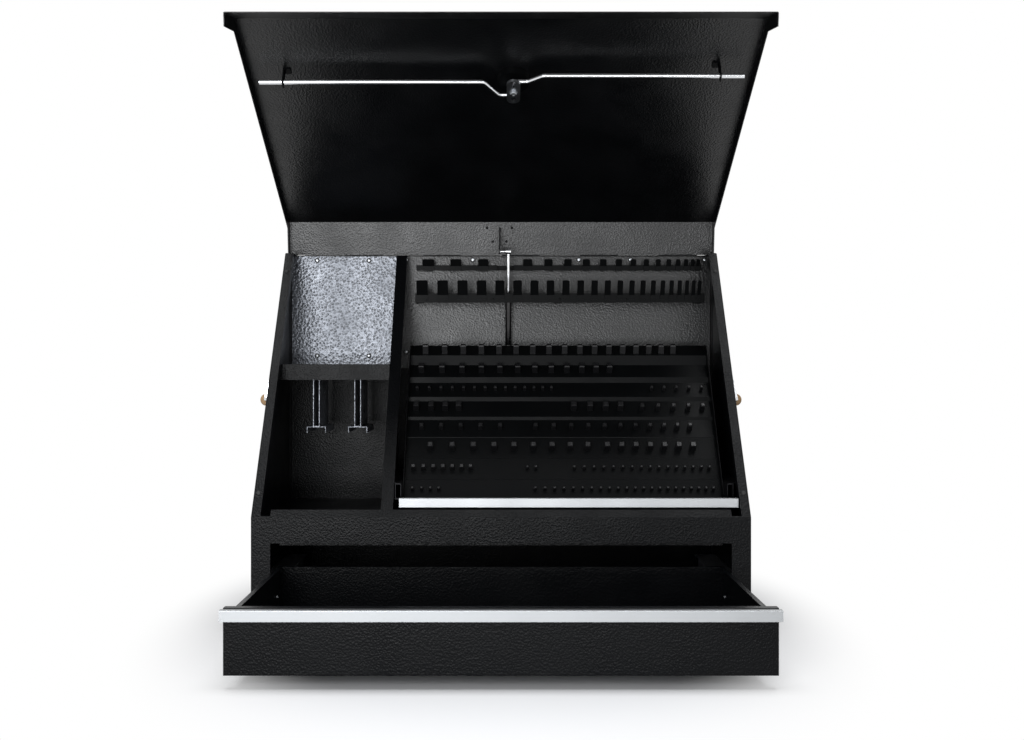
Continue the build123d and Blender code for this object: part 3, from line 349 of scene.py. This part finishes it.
def rivet_head(mesh, at, direction, radius, height):
    """A domed rivet head with the small pit that its mandrel leaves."""
    profile = (
        (0, 0), (radius, 0), (0.93 * radius, 0.45 * height), (0.65 * radius, 0.9 * height), (0.38 * radius, height),
        (0.3 * radius, 0.55 * height), (0, 0.5 * height),
    )
    turned(mesh, profile, at, direction)


# ---------------------------------------------------------------- operators
class CHEST_OT_finishes(bpy.types.Operator):
    """Give each part of the frame the finish of its material slot"""

    bl_idname = "chest.finishes"
    bl_label = "Finishes"

    def execute(self, context):
        make_materials(context.scene.chest_finish)
        for part in frame["record"]["subparts"]:
            node = frame["nodes"][part["node"]]
            finish = own_finishes.get(part["node"], part["material_slot"])
            if part["node"].startswith("tray_slide"):
                finish = "black_zinc"
            node.data.materials.clear()
            node.data.materials.append(materials[finish])
        return {"FINISHED"}


class CHEST_OT_grips(bpy.types.Operator):
    """Model the ribbed rubber grips of the two side handles"""

    bl_idname = "chest.grips"
    bl_label = "Grips"

    def execute(self, context):
        fittings = context.scene.chest_fittings
        for side in ("left", "right"):
            low, high = (Vector(corner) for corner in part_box(f"handle_grip_{side}"))
            radius = (high.x - low.x) / 2 - 0.1 * MM
            length = high.y - low.y
            pitch = (length - 2 * radius * 0.5) / fittings.grip_ribs
            bore = 0.3 * radius
            profile = [(bore, 0), (0.72 * radius, 0), (0.92 * radius, 0.1 * radius), (radius, 0.3 * radius)]
            for rib in range(fittings.grip_ribs):
                start = 0.5 * radius + rib * pitch
                profile += [
                    (radius, start + 0.1 * pitch),
                    (radius - fittings.grip_groove, start + 0.25 * pitch),
                    (radius - fittings.grip_groove, start + 0.75 * pitch),
                    (radius, start + 0.9 * pitch),
                ]
            profile += [(radius, length - 0.3 * radius), (0.92 * radius, length - 0.1 * radius)]
            profile += [(0.72 * radius, length), (bore, length), (bore, 0)]
            mesh = bmesh.new()
            middle = (low + high) / 2
            turned(mesh, profile, Vector((middle.x, low.y, middle.z)), (0, 1, 0), steps=40)
            piece = finish_piece(mesh, f"ribbed_grip_{side}", "tan_grip", f"side_handle_{side}")
            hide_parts(f"handle_grip_{side}")
        return {"FINISHED"}


class CHEST_OT_screws(bpy.types.Operator):
    """Set pan-head screws in the panels at the back, the lower rack and the strut's bracket"""

    bl_idname = "chest.screws"
    bl_label = "Screws"

    def execute(self, context):
        fittings = context.scene.chest_fittings
        size = (fittings.screw_radius, fittings.screw_height)
        bay = Vector(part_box("bay_back_panel")[0])
        tool = Vector(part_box("tool_back_panel")[0])
        forward = (0, -1, 0)
        bay_columns, bay_rows = (-458, -329), (828, 590)
        tool_columns, tool_rows = (-236, -70, 194, 323, 508), (830, 600)
        places = [Vector((x * MM, bay.y, z * MM)) for x in bay_columns for z in bay_rows]
        places += [Vector((x * MM, tool.y, z * MM)) for x in tool_columns for z in tool_rows]
        mesh, washers = bmesh.new(), bmesh.new()
        washer_height = 0.8
        washer = (
            (0, 0), (6.2, 0), (6.2, 0.5), (5.9, washer_height), (3.0, washer_height), (0, washer_height)
        )
        for place in places:
            turned(washers, [(r * MM, h * MM) for r, h in washer], place, forward, steps=20)
            pan_head(mesh, place + Vector(forward) * washer_height * MM, forward, *size)
        finish_piece(mesh, "panel_screws", "lock_steel", "cabinet")
        finish_piece(washers, "panel_washers", "black_rubber", "cabinet")

        mesh = bmesh.new()
        bracket_places = ((-34.8, 909), (27.0, 909), (-20.5, 875.5), (13.5, 875.5))
        for x, z in bracket_places:
            foot = Vector((x, BRACKET_EDGE.y - (z - BRACKET_EDGE.z) * BRACKET_LEAN, z)) * MM
            pan_head(mesh, foot, (0, -1, -BRACKET_LEAN), 3.4 * MM, 1.6 * MM)
        finish_piece(mesh, "bracket_screws", "hammered_black_paint", "lid")

        mesh = bmesh.new()
        low, high = (Vector(corner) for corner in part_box("wrench_rack_lower"))
        first_share, share_step = 0.04, 0.23  # of the rack's length
        for step in range(5):
            x = low.x + (first_share + share_step * step) * (high.x - low.x)
            pan_head(mesh, Vector((x, low.y, low.z + 8 * MM)), forward, 3 * MM, 1.4 * MM)
        finish_piece(mesh, "rack_screws", "black_rack", "cabinet")
        return {"FINISHED"}


class CHEST_OT_rivets(bpy.types.Operator):
    """Set rivets in the hinge, the handle plates, the slides and the drawer"""

    bl_idname = "chest.rivets"
    bl_label = "Rivets"

    def execute(self, context):
        fittings = context.scene.chest_fittings
        size = (fittings.rivet_radius, fittings.rivet_height)
        mesh = bmesh.new()
        leaf_low, leaf_high = (Vector(corner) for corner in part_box("hinge_cabinet_leaf"))
        hinge_rivets, leaf_thickness = 12, 1.2 * MM
        for step in range(hinge_rivets):
            x = leaf_low.x + (step + 0.5) / hinge_rivets * (leaf_high.x - leaf_low.x)
            pan_head(mesh, Vector((x, leaf_low.y + leaf_thickness, leaf_low.z + 9 * MM)), (0, 1, 0), *size)
        finish_piece(mesh, "hinge_rivets_cabinet", "hammered_black_paint", "cabinet")

        plate_seat = 527 * MM  # half a millimetre inside a handle plate's outer face, so the heads are set in
        drawer_wall = (471.3 - 1.2) * MM  # inner face of the drawer's side
        rivet_level = 82 * MM
        for side, sign in (("left", -1), ("right", 1)):
            low, high = (Vector(corner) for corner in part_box(f"handle_plate_{side}"))
            mesh = bmesh.new()
            for y in (low.y + 5 * MM, high.y - 5 * MM):
                for z in (low.z + 6 * MM, high.z - 6 * MM):
                    rivet_head(mesh, Vector((sign * plate_seat, y, z)), (sign, 0, 0), 2.6 * MM, 1.0 * MM)
            finish_piece(mesh, f"handle_rivets_{side}", "hammered_black_paint", "cabinet")

            inner_low, inner_high = (Vector(corner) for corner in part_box(f"drawer_slide_inner_{side}"))
            mesh = bmesh.new()
            for share in (0.06, 0.36, 0.66, 0.94):
                y = inner_low.y + share * (inner_high.y - inner_low.y)
                rivet_head(mesh, Vector((sign * drawer_wall, y, rivet_level)), (-sign, 0, 0), *size)
            finish_piece(mesh, f"drawer_rivets_{side}", "zinc_slide", "drawer")
        return {"FINISHED"}


class CHEST_OT_pull_caps(bpy.types.Operator):
    """Close the ends of the two aluminium pulls with moulded caps"""

    bl_idname = "chest.pull_caps"
    bl_label = "Pull end caps"

    def execute(self, context):
        thickness = context.scene.chest_fittings.cap_thickness
        inset = 1.0 * MM
        for node, body in (("drawer_pull", "drawer"), ("tray_pull", "tray")):
            low, high = (Vector(corner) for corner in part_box(node))
            mesh = bmesh.new()
            for x in (low.x + thickness / 2, high.x - thickness / 2):
                size = Vector((thickness, high.y - low.y - inset, high.z - low.z - inset))
                place = Matrix.Translation((x, (low.y + high.y) / 2, (low.z + high.z) / 2))
                block = bmesh.ops.create_cube(mesh, size=1.0, matrix=place @ Matrix.Diagonal((*size, 1.0)))
                edges = list({edge for vert in block["verts"] for edge in vert.link_edges})
                bmesh.ops.bevel(
                    mesh, geom=edges, offset=0.4 * MM, segments=2, affect="EDGES", profile=0.5, material=-1
                )
            finish_piece(mesh, f"{node}_end_caps", "black_rubber", body)
        return {"FINISHED"}


class CHEST_OT_lock(bpy.types.Operator):
    """Fit the key cylinder, its keyway and the cam's nut to the lock"""

    bl_idname = "chest.lock"
    bl_label = "Lock"

    def execute(self, context):
        out = LID_SLOPE_OUT
        face = LOCK_CENTRE + out * 1.5 * MM  # the handle's outer face, level with the lid's
        mesh = bmesh.new()
        cylinder = (
            (0, 0), (6.2, 0), (6.2, 0.5), (5.6, 1.0), (4.6, 1.0), (4.4, 0.7), (2.2, 0.7), (2.0, 0.5), (0, 0.5)
        )
        turned(mesh, [(r * MM, h * MM) for r, h in cylinder], face, out, steps=28)
        finish_piece(mesh, "lock_cylinder", "lock_steel", "lock")

        # the keyway is a thin black block on the plug's face: painted shade where the slot's dark opening would be
        mesh = bmesh.new()
        slot = bmesh.ops.create_cube(mesh, size=1.0, matrix=Matrix.Diagonal((0.9 * MM, 5.4 * MM, 0.5 * MM, 1.0)))
        edges = list({edge for vert in slot["verts"] for edge in vert.link_edges})
        bmesh.ops.bevel(mesh, geom=edges, offset=0.12 * MM, segments=1, affect="EDGES", profile=0.5, material=-1)
        mesh.transform(along(out, face + out * 0.6 * MM))
        finish_piece(mesh, "lock_keyway", "black_rubber", "lock", smooth=False)

        cam_seat, cam_thickness = 35.8, 6.0  # in mm, from the lid's inner face
        cam_face = LOCK_CENTRE - out * (cam_seat + cam_thickness) * MM
        mesh = bmesh.new()
        nut = ((0, 0), (8.5, 0), (8.5, 0.8), (7.2, 1.2), (6.6, 4.6), (5.6, 5.4), (3.0, 5.4), (2.6, 4.8), (0, 4.8))
        turned(mesh, [(r * MM, h * MM) for r, h in nut], cam_face, -out, steps=6)
        finish_piece(mesh, "cam_nut", "lock_steel", "lock", smooth=False)
        return {"FINISHED"}


class CHEST_OT_strut(bpy.types.Operator):
    """Fit the gland and the end collar of the gas strut"""

    bl_idname = "chest.strut"
    bl_label = "Strut"

    def execute(self, context):
        mesh = bmesh.new()
        gland_at, collar_at = 141.0, 14.0  # in mm, up the strut from its foot; the tube ends at the gland
        top = STRUT_FOOT + STRUT_AXIS * gland_at * MM
        gland = ((4.3, -7), (7.9, -7), (8.2, -6.2), (8.2, -1.2), (7.0, 0.4), (5.4, 1.2), (4.3, 1.2), (4.3, -7))
        turned(mesh, [(r * MM, h * MM) for r, h in gland], top, STRUT_AXIS, steps=32)
        foot = STRUT_FOOT + STRUT_AXIS * collar_at * MM
        collar = ((5.5, 0), (7.9, 0), (8.2, 0.8), (8.2, 4.2), (7.9, 5), (5.5, 5), (5.5, 0))
        turned(mesh, [(r * MM, h * MM) for r, h in collar], foot, STRUT_AXIS, steps=32)
        finish_piece(mesh, "strut_gland", "strut_black", "strut_cylinder")
        return {"FINISHED"}


class CHEST_OT_bumpers(bpy.types.Operator):
    """Set rubber bumpers on the cabinet's sloping edge, where the lid lands"""

    bl_idname = "chest.bumpers"
    bl_label = "Bumpers"

    def execute(self, context):
        run, rise = 425.0, 590.0  # the sloping edge, back and up from its lower end
        lower_y, lower_z = -252.5, 250.0
        length = (run * run + rise * rise) ** 0.5
        outward = Vector((0, -rise / length, run / length))
        mesh = bmesh.new()
        bumper = ((0, 0), (5.0, 0), (4.8, 1.2), (3.6, 2.1), (1.8, 2.4), (0, 2.5))
        for x in (-515, 515):
            for share in (0.08, 0.92):
                foot = Vector((x, lower_y + share * run, lower_z + share * rise)) * MM
                turned(mesh, [(r * MM, h * MM) for r, h in bumper], foot, outward, steps=14)
        finish_piece(mesh, "lid_bumpers", "black_rubber", "cabinet")
        return {"FINISHED"}


class CHEST_OT_stage(bpy.types.Operator):
    """Lay the floor, hang the lights and stand the camera"""

    bl_idname = "chest.stage"
    bl_label = "Studio"

    def soft_box(self, name, place, target, size, power):
        """An area light at place, facing target."""
        light = bpy.data.lights.new(name, "AREA")
        light.shape = "RECTANGLE"
        light.size, light.size_y = size
        light.energy = power
        light.color = (0.97, 0.985, 1.0)
        lamp = bpy.data.objects.new(name, light)
        lamp.matrix_world = along(Vector(place) - Vector(target), place)
        bpy.context.scene.collection.objects.link(lamp)

    def execute(self, context):
        studio = context.scene.chest_studio
        mesh = bmesh.new()
        bmesh.ops.create_grid(mesh, x_segments=8, y_segments=8, size=30)
        data = bpy.data.meshes.new("floor")
        mesh.to_mesh(data)
        mesh.free()
        floor = bpy.data.objects.new("floor", data)
        context.scene.collection.objects.link(floor)

        material, tree, output = new_material("pale_floor")
        rays = add_node(tree, "ShaderNodeLightPath")
        seen = add_node(
            tree, "ShaderNodeMath", {"operation": "MAXIMUM"},
            _0=rays.outputs["Is Camera Ray"], _1=rays.outputs["Is Glossy Ray"],
        )
        matt = add_node(tree, "ShaderNodeBsdfDiffuse", {"Color": (*studio.floor, 1.0)})
        glow = add_node(tree, "ShaderNodeEmission", {"Color": (1, 1, 1, 1)}, Strength=seen.outputs[0])
        # matt near the chest, where its shadow falls, and plain white further off
        place = add_node(tree, "ShaderNodeTexCoord").outputs["Object"]
        oval = add_node(tree, "ShaderNodeMapping", {"Scale": (1.0, 0.6, 1.0)}, Vector=place)
        reach = add_node(tree, "ShaderNodeVectorMath", {"operation": "LENGTH"}, _0=oval.outputs[0])
        fade_start, fade_end = 0.48, 0.80  # in metres, on the oval
        far = add_node(
            tree,
            "ShaderNodeMapRange",
            {"From Min": fade_start, "From Max": fade_end, "interpolation_type": "SMOOTHSTEP"},
            Value=reach.outputs["Value"],
        )
        shade = add_node(
            tree, "ShaderNodeMixShader", None, Fac=far.outputs[0], _1=matt.outputs[0], _2=glow.outputs[0]
        )
        tree.links.new(shade.outputs[0], output.inputs["Surface"])
        data.materials.append(material)

        world = bpy.data.worlds.new("white_room")
        context.scene.world = world
        world.use_nodes = True
        tree = world.node_tree
        tree.nodes.clear()
        rays = add_node(tree, "ShaderNodeLightPath")
        direct = add_node(
            tree, "ShaderNodeMath", {"operation": "MAXIMUM"},
            _0=rays.outputs["Is Camera Ray"], _1=rays.outputs["Is Glossy Ray"],
        )
        seen = add_node(
            tree, "ShaderNodeMath", {"operation": "MAXIMUM"},
            _0=direct.outputs[0], _1=rays.outputs["Is Transmission Ray"],
        )
        strength = add_node(
            tree, "ShaderNodeMapRange", {"To Min": studio.world_light, "To Max": 1.0}, Value=seen.outputs[0]
        )
        background = add_node(tree, "ShaderNodeBackground", {"Color": (1, 1, 1, 1)}, Strength=strength.outputs[0])
        output = add_node(tree, "ShaderNodeOutputWorld", None, Surface=background.outputs[0])

        # name, place, target, size in metres, power
        self.soft_box("key_light", (-0.95, -3.3, 0.95), (-0.1, 0, 0.7), (1.1, 1.3), studio.key_power)
        self.soft_box("fill_light", (1.9, -3.1, 1.5), (0, 0, 0.7), (1.2, 1.6), studio.fill_power)
        self.soft_box("top_light", (0, -0.6, 3.3), (0, 0, 0.5), (2.6, 2.0), studio.top_power)
        self.soft_box("low_light", (-0.3, -3.6, 0.14), (0, 0, 0.9), (2.6, 0.26), studio.low_power)

        camera_data = bpy.data.cameras.new("camera")
        camera_data.sensor_width = 36
        camera_data.lens = 36 * FOCAL_PIXELS / IMAGE_WIDTH
        camera_data.shift_x = SHIFT_PIXELS[0] / IMAGE_WIDTH
        camera_data.shift_y = SHIFT_PIXELS[1] / IMAGE_WIDTH
        camera = bpy.data.objects.new("camera", camera_data)
        camera.matrix_world = Matrix.Translation(CAMERA_PLACE) @ Matrix.Rotation(pi / 2, 4, "X")
        context.scene.collection.objects.link(camera)
        context.scene.camera = camera
        context.scene.view_settings.view_transform = "Standard"
        return {"FINISHED"}


class CHEST_PT_panel(bpy.types.Panel):
    """The chest's sizes and colours, and the steps that build it"""

    bl_idname = "CHEST_PT_panel"
    bl_label = "Tool Chest"
    bl_space_type = "VIEW_3D"
    bl_region_type = "UI"
    bl_category = "Tool Chest"

    def draw(self, context):
        for group in (context.scene.chest_finish, context.scene.chest_fittings, context.scene.chest_studio):
            box = self.layout.box()
            for name in group.__annotations__:
                box.prop(group, name)
        for step in steps:
            self.layout.operator(step.bl_idname)


steps = (
    CHEST_OT_finishes,
    CHEST_OT_grips,
    CHEST_OT_screws,
    CHEST_OT_rivets,
    CHEST_OT_pull_caps,
    CHEST_OT_lock,
    CHEST_OT_strut,
    CHEST_OT_bumpers,
    CHEST_OT_stage,
)
groups = {"chest_finish": ChestFinish, "chest_fittings": ChestFittings, "chest_studio": ChestStudio}


def register():
    for item in (*groups.values(), *steps, CHEST_PT_panel):
        bpy.utils.register_class(item)
    for name, group in groups.items():
        setattr(bpy.types.Scene, name, PointerProperty(type=group))


def unregister():
    for name in groups:
        delattr(bpy.types.Scene, name)
    for item in (CHEST_PT_panel, *reversed(steps), *groups.values()):
        bpy.utils.unregister_class(item)


def main():
    register()
    for step in steps:
        group, action = step.bl_idname.split(".")
        getattr(getattr(bpy.ops, group), action)()


if __name__ == "__main__":
    main()
